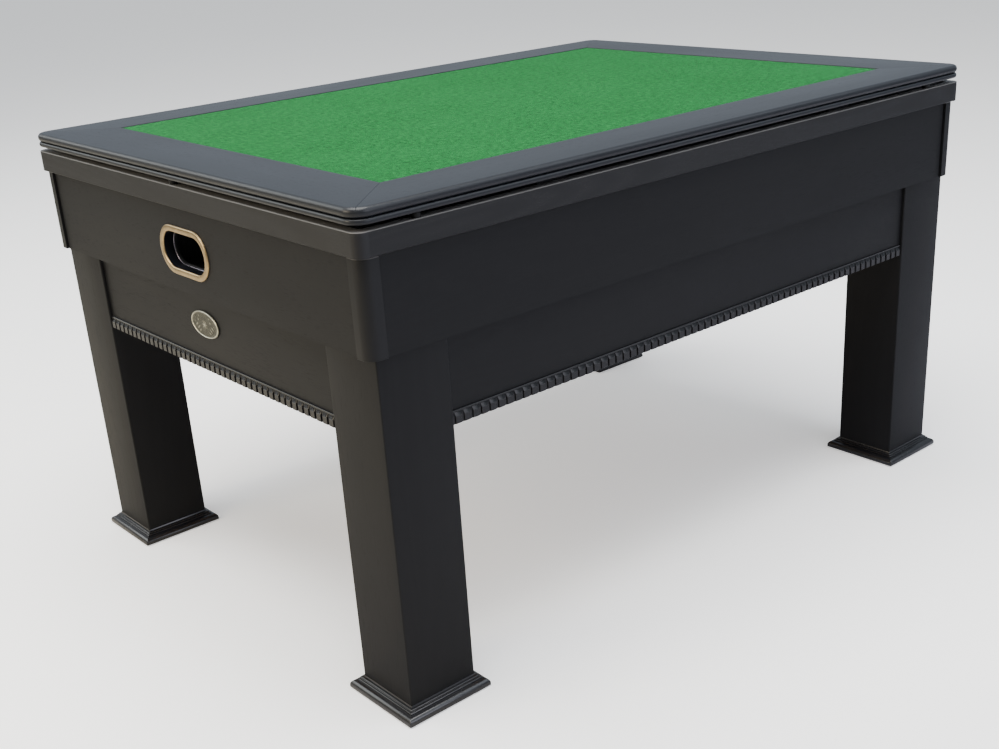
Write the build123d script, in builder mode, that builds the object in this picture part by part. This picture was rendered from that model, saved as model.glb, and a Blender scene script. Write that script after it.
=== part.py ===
"""Gaming table: a lift-off card top with a felt field on a cabinet that holds an air-cushion game.

Millimetres. +Z is up, +X runs along the long side, the origin is on the floor under the middle.
"front" is the -Y long side, "left" is the -X end.
"""

from build123d import *
import os
from math import atan2, degrees, sin, cos, radians

os.makedirs("parts", exist_ok=True)

# Overall sizes
table_height = 800.0
body_length = 1430.0
body_width = 1016.0

# Card top: mitred frame with a double-bead edge round a felt-covered panel
top_overhang = 2.0
top_thickness = 24.0
top_corner_radius = 28.0
frame_end_width = 122.0
frame_side_width = 108.0
lower_bead_height = 9.0
lower_bead_radius = 4.0
upper_bead_radius = 7.0
panel_thickness = 16.0
felt_thickness = 2.0
felt_drop = 0.6
felt_groove = 1.5
key_length = 56.0
key_width = 22.0
key_thickness = 6.0
key_clearance = 0.2

# Rubber pads that carry the top, and the cleats that locate it
pad_height = 8.0
pad_radius = 7.0
pad_corner_distance = 105.0
cleat_length = 60.0
cleat_depth = 20.0
cleat_clearance = 2.0
cleat_side_place = 350.0
cleat_end_place = 250.0

# Fascia band and its corner blocks
band_height = 36.0
band_thickness = 18.0
band_block = 20.0
band_block_radius = 16.0
band_arris = 1.2

# Corner posts and the upper cabinet panels, measured in from the band's face
cabinet_bottom = 587.0
post_inset = 5.0
post_size = 31.0
post_radius = 20.0
post_bevel = 2.5
panel_inset = 9.0
panel_thickness_wood = 18.0
panel_groove = 2.5

# Legs, aprons and dentil moulding
leg_size = 125.0
leg_inset_end = 20.0
leg_inset_side = 14.0
leg_arris = 2.0
apron_bottom = 450.0
apron_recess = 6.0
apron_thickness = 18.0
dentil_height = 21.0
dentil_fillet_height = 3.0
dentil_back = 1.5
dentil_fillet_depth = 3.0
tooth_depth = 5.0
tooth_width = 11.4
tooth_pitch = 16.7
tooth_slope = 4.5

# Plinth moulding and floor glides
plinth_height = 24.0
plinth_projection = 18.5
plinth_bead = 5.0
plinth_foot_height = 13.0
plinth_foot_round = 2.0
plinth_step = 0.8
glide_radius = 15.0
glide_thickness = 6.0
glide_stand = 1.5
glide_clearance = 0.1

# Inner framing
ledger_width = 22.0
ledger_height = 24.0
brace_length = 88.0
brace_width = 78.0
brace_thickness = 18.0
bolt_radius = 4.0
bolt_length = 70.0
bolt_head_radius = 6.5
bolt_head_height = 5.0
bolt_clearance = 0.5
bottom_board_thickness = 12.0
bottom_board_lift = 2.0

# Air-cushion game under the card top
playfield_top = 716.0
playfield_thickness = 12.0
air_hole_radius = 1.5
air_hole_pitch = 72.0
bearer_width = 22.0
bearer_height = 24.0
batten_gap = 0.5
rail_height = 50.0
side_rail_width = 38.0
end_rail_width = 142.0
insert_thickness = 2.5
insert_height = 30.0
goal_width = 140.0
goal_height = 20.0
goal_back_wall = 12.0

# Return pocket behind each end panel, its trim ring and the badge
pocket_depth = 104.0
pocket_width = 150.0
pocket_bottom = 612.0
pocket_wall = 4.0
ring_centre_height = 657.0
ring_length = 156.0
ring_height = 82.0
ring_thickness = 3.0
mouth_length = 134.0
mouth_height = 60.0
sleeve_wall = 1.5
sleeve_clearance = 0.5
pocket_lip = 2.0
badge_length = 90.0
badge_height = 46.0
badge_centre_height = 532.0
badge_thickness = 2.0
badge_rim = 3.0
badge_relief = 1.2

# Blower slung under the bottom board
blower_x = -73.0
blower_y = -278.0
blower_length = 123.0
blower_depth = 140.0
blower_drop = 75.0
blower_wall = 3.0
blower_corner_radius = 8.0
blower_flange = 10.0
inlet_radius = 35.0
outlet_radius = 46.0
guard_radius = 42.0
guard_thickness = 2.0
impeller_radius = 42.0
impeller_gap = 10.0
blade_height = 24.0
blade_count = 16
blade_thickness = 1.6
blade_length = 17.0
guard_slots = 5
guard_slot_width = 4.0
guard_slot_length = 52.0
guard_slot_pitch = 10.0
hub_radius = 9.0
shaft_radius = 3.0
shaft_length = 46.0
bearing_clearance = 0.05
motor_radius = 29.0
motor_height = 50.0
motor_gap = 4.0
strap_width = 24.0
strap_thickness = 3.0
strap_span = 130.0
strap_foot = 18.0

# Rocker switch and cord gland on the blower's rear wall
switch_width = 22.0
switch_height = 30.0
switch_depth = 12.0
switch_flange = 2.0
switch_offset = 28.0
switch_rise = 41.0
switch_floor = 2.0
rocker_width = 13.0
rocker_height = 18.0
rocker_thickness = 5.0
rocker_tilt = 8.0
rocker_clearance = 0.75
pin_radius = 1.2
pin_seat = 2.0
gland_radius = 5.5
gland_flange_radius = 8.5
gland_bore_radius = 3.6
gland_length = 22.0
gland_offset = -30.0

# Places worked out from the sizes above
half_length = body_length / 2
half_width = body_width / 2
top_length = body_length + 2 * top_overhang
top_width = body_width + 2 * top_overhang
top_bottom = table_height - top_thickness
band_top = top_bottom - pad_height
band_bottom = band_top - band_height
field_length = top_length - 2 * frame_end_width
field_width = top_width - 2 * frame_side_width
felt_top = table_height - felt_drop
panel_inner = panel_inset + panel_thickness_wood
post_inner = post_inset + post_size
ledger_inner = panel_inner + ledger_width
apron_end = leg_inset_end + apron_recess
apron_side = leg_inset_side + apron_recess
leg_inner_end = leg_inset_end + leg_size
leg_inner_side = leg_inset_side + leg_size
leg_x = half_length - leg_inset_end - leg_size / 2
leg_y = half_width - leg_inset_side - leg_size / 2
playfield_bottom = playfield_top - playfield_thickness
pocket_inner = panel_inner + pocket_depth
rail_inner_end = panel_inner + end_rail_width
rail_inner_side = panel_inner + side_rail_width
board_bottom = apron_bottom + bottom_board_lift
board_top = board_bottom + bottom_board_thickness
blower_bottom = board_bottom - blower_drop
blower_back = blower_y + blower_depth / 2
impeller_disc = blower_bottom + blower_wall + impeller_gap + blade_height
motor_bottom = impeller_disc + guard_thickness + motor_gap
rocker_height_centre = blower_bottom + switch_rise

FRONT_BACK = (("front", -1), ("back", 1))
LEFT_RIGHT = (("left", -1), ("right", 1))
CORNERS = [
    (f"{side}_{end}", end_sign, side_sign)
    for side, side_sign in FRONT_BACK
    for end, end_sign in LEFT_RIGHT
]


def save(piece, label):
    """Name a finished piece and write it out."""
    piece.part.label = label
    export_step(piece.part, f"parts/{label}.step")


def block(x_range, y_range, z_range, mode=Mode.ADD):
    """A square-edged block between two limits along each axis, inside the open BuildPart."""
    sizes = [high - low for low, high in (x_range, y_range, z_range)]
    middle = [(low + high) / 2 for low, high in (x_range, y_range, z_range)]
    with Locations(tuple(middle)):
        Box(*sizes, mode=mode)


def span(sign, near, far):
    """The limits between two distances from an edge, on the side given by sign."""
    return tuple(sorted((sign * near, sign * far)))


# ---- Card top ----

def mitre_key_places():
    """Each key lies across its mitre line, which runs from the outer to the inner corner."""
    mitre_angle = degrees(atan2(frame_side_width, frame_end_width))
    for _, x_sign, y_sign in CORNERS:
        x = x_sign * (top_length - frame_end_width) / 2
        y = y_sign * (top_width - frame_side_width) / 2
        z = top_bottom + top_thickness / 2
        yield Location((x, y, z), (0, 0, 90 + x_sign * y_sign * mitre_angle))


def frame_member_outline(side):
    """The four plan corners of one mitred member, drawn past the outer edge."""
    beyond = 2.0
    ox, oy = top_length / 2 * beyond, top_width / 2 * beyond
    ix, iy = field_length / 2, field_width / 2
    slope_x = (ox - top_length / 2) / (top_length / 2 - ix)
    reach_x = top_length / 2 + slope_x * frame_end_width
    reach_y = top_width / 2 + slope_x * frame_side_width
    outlines = {
        "front": [(-ix, -iy), (ix, -iy), (reach_x, -reach_y), (-reach_x, -reach_y)],
        "back": [(-ix, iy), (ix, iy), (reach_x, reach_y), (-reach_x, reach_y)],
        "left": [(-ix, -iy), (-ix, iy), (-reach_x, reach_y), (-reach_x, -reach_y)],
        "right": [(ix, -iy), (ix, iy), (reach_x, reach_y), (reach_x, -reach_y)],
    }
    return outlines[side]


groove_height = top_bottom + lower_bead_height
bead_layers = []
for bottom, height, radius in (
    (top_bottom, lower_bead_height, lower_bead_radius),
    (groove_height, top_thickness - lower_bead_height, upper_bead_radius),
):
    with BuildPart() as bead_layer:
        with BuildSketch(Plane.XY.offset(bottom)):
            RectangleRounded(top_length, top_width, top_corner_radius)
        extrude(amount=height)
        fillet(bead_layer.faces().filter_by(Axis.Z).edges(), radius)
    bead_layers.append(bead_layer.part)

with BuildPart() as top_ring:
    add(bead_layers)
    with BuildSketch(Plane.XY.offset(top_bottom)):
        Rectangle(field_length, field_width)
    extrude(amount=top_thickness, mode=Mode.SUBTRACT)
    with Locations(*mitre_key_places()):
        Box(
            key_length + 2 * key_clearance,
            key_width + 2 * key_clearance,
            key_thickness + 2 * key_clearance,
            mode=Mode.SUBTRACT,
        )

for side in ("front", "back", "left", "right"):
    with BuildPart() as top_member:
        add(top_ring.part)
        with BuildSketch(Plane.XY.offset(top_bottom)):
            with BuildLine():
                Polyline(*frame_member_outline(side), close=True)
            make_face()
        extrude(amount=top_thickness, mode=Mode.INTERSECT)
    save(top_member, f"top_frame_{side}")

with BuildPart() as mitre_keys:
    with Locations(*mitre_key_places()):
        Box(key_length, key_width, key_thickness)
save(mitre_keys, "mitre_keys")

with BuildPart() as felt_panel:
    with BuildSketch(Plane.XY.offset(felt_top - felt_thickness)):
        Rectangle(field_length, field_width)
    extrude(amount=-panel_thickness)
save(felt_panel, "felt_panel")

with BuildPart() as felt_field:
    with BuildSketch(Plane.XY.offset(felt_top)):
        Rectangle(field_length - 2 * felt_groove, field_width - 2 * felt_groove)
    extrude(amount=-felt_thickness)
save(felt_field, "felt_field")

# The cleats hang in the slot between the band and the rails
with BuildPart() as locating_cleats:
    near = band_thickness + cleat_clearance
    far = panel_inner - cleat_clearance
    z_range = (top_bottom - cleat_depth, top_bottom)
    for _, sign in FRONT_BACK:
        for x in (-cleat_side_place, cleat_side_place):
            x_range = (x - cleat_length / 2, x + cleat_length / 2)
            block(x_range, span(sign, half_width - far, half_width - near), z_range)
    for _, sign in LEFT_RIGHT:
        for y in (-cleat_end_place, cleat_end_place):
            y_range = (y - cleat_length / 2, y + cleat_length / 2)
            block(span(sign, half_length - far, half_length - near), y_range, z_range)
save(locating_cleats, "locating_cleats")

# ---- Fascia band and what the top rests on ----

pad_line = band_thickness / 2
with BuildPart() as rest_pads:
    corner_x = half_length - pad_corner_distance
    places = [
        (x * corner_x, y * (half_width - pad_line), band_top) for _, x, y in CORNERS
    ]
    places += [(x * (half_length - pad_line), 0, band_top) for _, x in LEFT_RIGHT]
    with Locations(*places):
        Cylinder(pad_radius, pad_height, align=(Align.CENTER, Align.CENTER, Align.MIN))
save(rest_pads, "rest_pads")

for side, sign in FRONT_BACK:
    with BuildPart() as band:
        reach = half_length - band_block
        y_range = span(sign, half_width - band_thickness, half_width)
        block((-reach, reach), y_range, (band_bottom, band_top))
        outer_edges = band.faces().sort_by(Axis.Y)[-1 if sign > 0 else 0].edges()
        chamfer(outer_edges.filter_by(Axis.X), band_arris)
    save(band, f"band_{side}")

for side, sign in LEFT_RIGHT:
    with BuildPart() as band:
        reach = half_width - band_block
        x_range = span(sign, half_length - band_thickness, half_length)
        block(x_range, (-reach, reach), (band_bottom, band_top))
        outer_edges = band.faces().sort_by(Axis.X)[-1 if sign > 0 else 0].edges()
        chamfer(outer_edges.filter_by(Axis.Y), band_arris)
    save(band, f"band_{side}")


def rounded_corner_block(x_sign, y_sign, inset, size, radius, bottom, top, bevel):
    """A square post at one corner, its outer upright rounded and its outer top edges bevelled."""
    outer_x = x_sign * (half_length - inset)
    outer_y = y_sign * (half_width - inset)
    with BuildPart() as corner:
        x_range = tuple(sorted((outer_x, outer_x - x_sign * size)))
        y_range = tuple(sorted((outer_y, outer_y - y_sign * size)))
        block(x_range, y_range, (bottom, top))
        upright = corner.edges().filter_by(Axis.Z).sort_by(
            lambda edge: x_sign * edge.center().X + y_sign * edge.center().Y
        )[-1]
        fillet(upright, radius)
        inner_x = outer_x - x_sign * size
        inner_y = outer_y - y_sign * size
        top_edges = corner.faces().sort_by(Axis.Z)[-1].edges()
        outer_edges = [
            edge
            for edge in top_edges
            if abs(edge.center().X - inner_x) > 0.01 and abs(edge.center().Y - inner_y) > 0.01
        ]
        chamfer(outer_edges, bevel)
    return corner.part


corner_blocks = [
    rounded_corner_block(
        x_sign, y_sign, 0, band_block, band_block_radius, band_bottom, band_top, band_arris
    )
    for _, x_sign, y_sign in CORNERS
]
with BuildPart() as band_corner_blocks:
    add(corner_blocks)
save(band_corner_blocks, "band_corner_blocks")

# ---- Upper cabinet ----

for name, x_sign, y_sign in CORNERS:
    post_part = rounded_corner_block(
        x_sign, y_sign, post_inset, post_size, post_radius, cabinet_bottom, band_bottom, post_bevel
    )
    with BuildPart() as post:
        add(post_part)
    save(post, f"corner_post_{name}")

for side, sign in FRONT_BACK:
    with BuildPart() as side_panel:
        reach = half_length - post_inner
        y_range = span(sign, half_width - panel_inner, half_width - panel_inset)
        block((-reach, reach), y_range, (cabinet_bottom, band_bottom))
        face = side_panel.faces().sort_by(Axis.Y)[-1 if sign > 0 else 0]
        chamfer(face.edges().filter_by(Axis.Z), panel_groove)
    save(side_panel, f"side_panel_{side}")


def end_plane(sign, distance_in):
    """A plane across the table at one end, its normal pointing outwards and its x along Y."""
    return Plane(
        origin=(sign * (half_length - distance_in), 0, 0),
        x_dir=(0, 1, 0),
        z_dir=(sign, 0, 0),
    )


def ring_centre(sign):
    """The centre of the return mouth in the end plane's own coordinates."""
    return (0, sign * ring_centre_height)


for side, sign in LEFT_RIGHT:
    with BuildPart() as end_panel:
        reach = half_width - post_inner
        x_range = span(sign, half_length - panel_inner, half_length - panel_inset)
        block(x_range, (-reach, reach), (cabinet_bottom, band_bottom))
        face = end_panel.faces().sort_by(Axis.X)[-1 if sign > 0 else 0]
        chamfer(face.edges().filter_by(Axis.Z), panel_groove)
        with BuildSketch(end_plane(sign, panel_inset)):
            with Locations(ring_centre(sign)):
                SlotOverall(
                    mouth_length + 2 * (sleeve_wall + sleeve_clearance),
                    mouth_height + 2 * (sleeve_wall + sleeve_clearance),
                )
        extrude(amount=-panel_thickness_wood, mode=Mode.SUBTRACT)
    save(end_panel, f"end_panel_{side}")

# ---- Aprons with dentil moulding, between the legs ----

for side, sign in FRONT_BACK:
    with BuildPart() as apron:
        reach = half_length - leg_inner_end
        face_y = half_width - apron_side
        y_range = span(sign, face_y - apron_thickness, face_y)
        block((-reach, reach), y_range, (apron_bottom, cabinet_bottom))
    save(apron, f"apron_{side}")

for side, sign in LEFT_RIGHT:
    with BuildPart() as apron:
        reach = half_width - leg_inner_side
        face_x = half_length - apron_end
        x_range = span(sign, face_x - apron_thickness, face_x)
        block(x_range, (-reach, reach), (apron_bottom, cabinet_bottom))
    save(apron, f"apron_{side}")


def dentil_strip(plane, length):
    """A strip of teeth with sloped tops under a thin fillet, worked along the plane's x.

    The plane stands on the apron's face: its y is up and its z points out of the apron.
    """
    teeth_height = dentil_height - dentil_fillet_height
    count = int((length - tooth_width) / tooth_pitch) + 1
    tooth_side = Plane(plane.origin, x_dir=plane.z_dir, z_dir=plane.x_dir)
    up = 1 if tooth_side.y_dir.Z > 0 else -1
    with BuildPart() as strip:
        with BuildSketch(plane):
            Rectangle(length, dentil_height, align=(Align.CENTER, Align.MIN))
        extrude(amount=dentil_back)
        with BuildSketch(plane):
            with Locations((0, teeth_height)):
                Rectangle(length, dentil_fillet_height, align=(Align.CENTER, Align.MIN))
        extrude(amount=dentil_fillet_depth)
        for index in range(count):
            place = (index - (count - 1) / 2) * tooth_pitch - tooth_width / 2
            with BuildSketch(tooth_side.offset(place)):
                with BuildLine():
                    Polyline(
                        (0, 0),
                        (tooth_depth, 0),
                        (tooth_depth, up * (teeth_height - tooth_slope)),
                        (dentil_back, up * teeth_height),
                        (0, up * teeth_height),
                        close=True,
                    )
                make_face()
            extrude(amount=tooth_width)
    return strip.part


for side, sign in FRONT_BACK:
    face = Plane(
        origin=(0, sign * (half_width - apron_side), apron_bottom),
        x_dir=(-sign, 0, 0),
        z_dir=(0, sign, 0),
    )
    strip_part = dentil_strip(face, body_length - 2 * leg_inner_end)
    with BuildPart() as dentil:
        add(strip_part)
    save(dentil, f"dentil_{side}")

for side, sign in LEFT_RIGHT:
    face = Plane(
        origin=(sign * (half_length - apron_end), 0, apron_bottom),
        x_dir=(0, sign, 0),
        z_dir=(sign, 0, 0),
    )
    strip_part = dentil_strip(face, body_width - 2 * leg_inner_side)
    with BuildPart() as dentil:
        add(strip_part)
    save(dentil, f"dentil_{side}")

# ---- Legs, plinths and glides ----

brace_x = half_length - ledger_inner - brace_length / 2
brace_y = half_width - ledger_inner - brace_width / 2
bolt_x = brace_length / 4
bolt_y = brace_width / 4


def bolt_places(x_sign, y_sign):
    """Two bolts on the diagonal of one corner brace."""
    for way in (-1, 1):
        yield (x_sign * (brace_x + way * bolt_x), y_sign * (brace_y - way * bolt_y))


for name, x_sign, y_sign in CORNERS:
    with BuildPart() as leg:
        with BuildSketch(Plane.XY.offset(glide_stand)):
            with Locations((x_sign * leg_x, y_sign * leg_y)):
                Rectangle(leg_size, leg_size)
        extrude(amount=cabinet_bottom - glide_stand)
        fillet(leg.edges().filter_by(Axis.Z), leg_arris)
        with BuildSketch(Plane.XY.offset(cabinet_bottom)):
            with Locations(*bolt_places(x_sign, y_sign)):
                Circle(bolt_radius + glide_clearance)
        extrude(amount=-(bolt_length - brace_thickness + 1), mode=Mode.SUBTRACT)
        with BuildSketch(Plane.XY.offset(glide_stand)):
            with Locations((x_sign * leg_x, y_sign * leg_y)):
                Circle(glide_radius + glide_clearance)
        extrude(amount=glide_thickness - glide_stand, mode=Mode.SUBTRACT)
    save(leg, f"leg_{name}")


def plinth_profile():
    """Half of the moulding's section: a rounded foot, a step, then a small bead on top."""
    foot = leg_size / 2 + plinth_projection
    shoulder = leg_size / 2 + plinth_bead
    ledge = shoulder + plinth_bead
    bead_bottom = plinth_foot_height + 3 * plinth_step
    bead_top = plinth_height - plinth_foot_round
    crown = shoulder - plinth_foot_round
    with BuildLine() as outline:
        Line((0, glide_stand), (foot - plinth_foot_round, glide_stand))
        ThreePointArc(
            (foot - plinth_foot_round, glide_stand),
            (foot - plinth_foot_round / 5, plinth_foot_height / 2),
            (ledge, plinth_foot_height),
        )
        Line((ledge, plinth_foot_height), (shoulder, plinth_foot_height + plinth_step))
        Line((shoulder, plinth_foot_height + plinth_step), (shoulder, bead_bottom))
        ThreePointArc(
            (shoulder, bead_bottom),
            (shoulder + plinth_step, (bead_bottom + bead_top) / 2),
            (crown, bead_top),
        )
        Line((crown, bead_top), (leg_size / 2, plinth_height))
        Line((leg_size / 2, plinth_height), (0, plinth_height))
        Line((0, plinth_height), (0, glide_stand))
    return outline.edges()


def plinth_ring(x, y):
    """The moulding mitred round a square: the section run along X and along Y, and their overlap."""
    across_x = Plane(origin=(x, y, 0), x_dir=(1, 0, 0), z_dir=(0, -1, 0))
    across_y = Plane(origin=(x, y, 0), x_dir=(0, 1, 0), z_dir=(1, 0, 0))
    with BuildPart() as ring:
        for plane, mode in ((across_x, Mode.ADD), (across_y, Mode.INTERSECT)):
            with BuildSketch(plane):
                add(make_face(plinth_profile(), mode=Mode.PRIVATE))
                mirror(about=Plane.YZ)
            extrude(amount=leg_size, both=True, mode=mode)
        with BuildSketch(Plane.XY):
            with Locations((x, y)):
                Rectangle(leg_size, leg_size)
        extrude(amount=plinth_height, mode=Mode.SUBTRACT)
    return ring.part


plinth_rings = [plinth_ring(x_sign * leg_x, y_sign * leg_y) for _, x_sign, y_sign in CORNERS]
with BuildPart() as plinths:
    add(plinth_rings)
save(plinths, "plinths")

with BuildPart() as floor_glides:
    with Locations(*[(x * leg_x, y * leg_y, 0) for _, x, y in CORNERS]):
        Cylinder(glide_radius, glide_thickness, align=(Align.CENTER, Align.CENTER, Align.MIN))
save(floor_glides, "floor_glides")

# ---- Inner framing ----

# Ledgers on top of the aprons, and bearers under the playfield
with BuildPart() as inner_battens:
    z_range = (cabinet_bottom, cabinet_bottom + ledger_height)
    for _, sign in FRONT_BACK:
        reach = half_length - ledger_inner
        y_range = span(sign, half_width - ledger_inner, half_width - panel_inner)
        block((-reach, reach), y_range, z_range)
    for _, sign in LEFT_RIGHT:
        reach = half_width - ledger_inner - batten_gap
        x_range = span(sign, half_length - ledger_inner, half_length - panel_inner)
        block(x_range, (-reach, reach), z_range)
    z_range = (playfield_bottom - bearer_height, playfield_bottom)
    for _, sign in FRONT_BACK:
        reach = half_length - pocket_inner
        y_range = span(sign, half_width - panel_inner - bearer_width, half_width - panel_inner)
        block((-reach, reach), y_range, z_range)
    for _, sign in LEFT_RIGHT:
        reach = half_width - panel_inner - bearer_width - batten_gap
        x_range = span(sign, half_length - pocket_inner - bearer_width, half_length - pocket_inner)
        block(x_range, (-reach, reach), z_range)
save(inner_battens, "inner_battens")

with BuildPart() as leg_braces:
    with Locations(*[(x * brace_x, y * brace_y, cabinet_bottom) for _, x, y in CORNERS]):
        Box(
            brace_length,
            brace_width,
            brace_thickness,
            align=(Align.CENTER, Align.CENTER, Align.MIN),
        )
    with BuildSketch(Plane.XY.offset(cabinet_bottom)):
        for _, x_sign, y_sign in CORNERS:
            with Locations(*bolt_places(x_sign, y_sign)):
                Circle(bolt_radius + bolt_clearance)
    extrude(amount=brace_thickness, mode=Mode.SUBTRACT)
save(leg_braces, "leg_braces")

with BuildPart() as leg_bolts:
    head_bottom = cabinet_bottom + brace_thickness
    for _, x_sign, y_sign in CORNERS:
        with BuildSketch(Plane.XY.offset(head_bottom)):
            with Locations(*bolt_places(x_sign, y_sign)):
                RegularPolygon(bolt_head_radius, 6)
        extrude(amount=bolt_head_height)
        with BuildSketch(Plane.XY.offset(head_bottom)):
            with Locations(*bolt_places(x_sign, y_sign)):
                Circle(bolt_radius)
        extrude(amount=-bolt_length)
save(leg_bolts, "leg_bolts")

with BuildPart() as bottom_board:
    inner_x = half_length - apron_end - apron_thickness
    inner_y = half_width - apron_side - apron_thickness
    with BuildSketch(Plane.XY.offset(board_bottom)):
        Rectangle(2 * inner_x, 2 * inner_y)
        notch_x = half_length - leg_inner_end
        notch_y = half_width - leg_inner_side
        for _, x_sign, y_sign in CORNERS:
            with Locations((x_sign * (notch_x + leg_size), y_sign * (notch_y + leg_size))):
                Rectangle(2 * leg_size, 2 * leg_size, mode=Mode.SUBTRACT)
        with Locations((blower_x, blower_y)):
            Circle(outlet_radius, mode=Mode.SUBTRACT)
    extrude(amount=bottom_board_thickness)
save(bottom_board, "bottom_board")

# ---- Air-cushion game ----

with BuildPart() as playfield:
    reach_x = half_length - pocket_inner
    reach_y = half_width - panel_inner
    with BuildSketch(Plane.XY.offset(playfield_bottom)):
        Rectangle(2 * reach_x, 2 * reach_y)
        columns = int(2 * (half_length - rail_inner_end) / air_hole_pitch)
        rows = int(2 * (half_width - rail_inner_side) / air_hole_pitch)
        with GridLocations(air_hole_pitch, air_hole_pitch, columns, rows):
            Circle(air_hole_radius, mode=Mode.SUBTRACT)
    extrude(amount=playfield_thickness)
save(playfield, "playfield")

for side, sign in FRONT_BACK:
    with BuildPart() as rail:
        reach = half_length - rail_inner_end
        y_range = span(sign, half_width - rail_inner_side, half_width - panel_inner)
        block((-reach, reach), y_range, (playfield_top, playfield_top + rail_height))
    save(rail, f"rail_{side}")

for side, sign in LEFT_RIGHT:
    with BuildPart() as rail:
        z_range = (playfield_top, playfield_top + rail_height)
        long_reach = half_width - panel_inner
        short_reach = half_width - post_inner
        inner_x = half_length - rail_inner_end
        block(span(sign, inner_x, half_length - post_inner), (-long_reach, long_reach), z_range)
        block(
            span(sign, half_length - post_inner, half_length - panel_inner),
            (-short_reach, short_reach),
            z_range,
        )
        tunnel = span(sign, inner_x, half_length - panel_inner - goal_back_wall)
        goal_z = (playfield_top, playfield_top + goal_height)
        block(tunnel, (-goal_width / 2, goal_width / 2), goal_z, mode=Mode.SUBTRACT)
    save(rail, f"rail_{side}")

with BuildPart() as rail_inserts:
    z_range = (playfield_top, playfield_top + insert_height)
    play_x = half_length - rail_inner_end
    play_y = half_width - rail_inner_side
    for _, sign in FRONT_BACK:
        reach = play_x - insert_thickness
        block((-reach, reach), span(sign, play_y - insert_thickness, play_y), z_range)
    for _, sign in LEFT_RIGHT:
        x_range = span(sign, play_x - insert_thickness, play_x)
        block(x_range, (-play_y, play_y), z_range)
        goal_z = (playfield_top, playfield_top + goal_height)
        block(x_range, (-goal_width / 2, goal_width / 2), goal_z, mode=Mode.SUBTRACT)
save(rail_inserts, "rail_inserts")

# ---- Return pockets, trim rings and badge ----

for side, sign in LEFT_RIGHT:
    with BuildPart() as pocket:
        outer_x = span(sign, half_length - pocket_inner, half_length - panel_inner)
        half = pocket_width / 2
        block(outer_x, (-half, half), (pocket_bottom, playfield_top))
        inner_x = span(
            sign,
            half_length - pocket_inner + pocket_wall,
            half_length - panel_inner - pocket_wall,
        )
        inside = half - pocket_wall
        inner_z = (pocket_bottom + pocket_wall, playfield_top)
        block(inner_x, (-inside, inside), inner_z, mode=Mode.SUBTRACT)
        with BuildSketch(end_plane(sign, panel_inner)):
            with Locations(ring_centre(sign)):
                SlotOverall(mouth_length - 2 * pocket_lip, mouth_height - 2 * pocket_lip)
        extrude(amount=-pocket_wall, mode=Mode.SUBTRACT)
    save(pocket, f"return_pocket_{side}")

    with BuildPart() as trim_ring:
        with BuildSketch(end_plane(sign, panel_inset)):
            with Locations(ring_centre(sign)):
                SlotOverall(ring_length, ring_height)
        extrude(amount=ring_thickness)
        outer_face = trim_ring.faces().sort_by(Axis.X)[-1 if sign > 0 else 0]
        chamfer(outer_face.edges(), ring_thickness / 3)
        with BuildSketch(end_plane(sign, panel_inset)):
            with Locations(ring_centre(sign)):
                SlotOverall(mouth_length + 2 * sleeve_wall, mouth_height + 2 * sleeve_wall)
        extrude(amount=-panel_thickness_wood)
        with BuildSketch(end_plane(sign, panel_inset - ring_thickness)):
            with Locations(ring_centre(sign)):
                SlotOverall(mouth_length, mouth_height)
        extrude(amount=-(ring_thickness + panel_thickness_wood), mode=Mode.SUBTRACT)
        outer_face = trim_ring.faces().sort_by(Axis.X)[-1 if sign > 0 else 0]
        mouth_edges = outer_face.inner_wires()[0].edges()
        chamfer(mouth_edges, ring_thickness / 3)
    save(trim_ring, f"trim_ring_{side}")

with BuildPart() as badge:
    badge_plane = end_plane(-1, apron_end)
    badge_centre = (0, -badge_centre_height)
    with BuildSketch(badge_plane):
        with Locations(badge_centre):
            Ellipse(badge_length / 2, badge_height / 2)
    extrude(amount=badge_thickness)
    with BuildSketch(badge_plane.offset(badge_thickness)):
        with Locations(badge_centre):
            Ellipse(badge_length / 2, badge_height / 2)
            Ellipse(badge_length / 2 - badge_rim, badge_height / 2 - badge_rim, mode=Mode.SUBTRACT)
    extrude(amount=badge_relief)
save(badge, "badge")

# ---- Blower ----

with BuildPart() as blower_housing:
    with BuildSketch(Plane.XY.offset(blower_bottom)):
        with Locations((blower_x, blower_y)):
            RectangleRounded(blower_length, blower_depth, blower_corner_radius)
    extrude(amount=blower_drop)
    with BuildSketch(Plane.XY.offset(board_bottom)):
        with Locations((blower_x, blower_y)):
            RectangleRounded(
                blower_length + 2 * blower_flange,
                blower_depth + 2 * blower_flange,
                blower_corner_radius + blower_flange / 2,
            )
    extrude(amount=-blower_wall)
    with BuildSketch(Plane.XY.offset(blower_bottom + blower_wall)):
        with Locations((blower_x, blower_y)):
            RectangleRounded(
                blower_length - 2 * blower_wall,
                blower_depth - 2 * blower_wall,
                blower_corner_radius - blower_wall,
            )
    extrude(amount=blower_drop, mode=Mode.SUBTRACT)
    with BuildSketch(Plane.XY.offset(blower_bottom)):
        with Locations((blower_x, blower_y)):
            Circle(inlet_radius)
    extrude(amount=blower_wall, mode=Mode.SUBTRACT)
    with Locations((blower_x + switch_offset, blower_back, rocker_height_centre)):
        Box(switch_width, 4 * blower_wall, switch_height, mode=Mode.SUBTRACT)
    gland_hole = Plane(
        origin=(blower_x + gland_offset, blower_back, rocker_height_centre),
        x_dir=(1, 0, 0),
        z_dir=(0, 1, 0),
    )
    with BuildSketch(gland_hole):
        Circle(gland_radius)
    extrude(amount=2 * blower_wall, both=True, mode=Mode.SUBTRACT)
save(blower_housing, "blower_housing")

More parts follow.
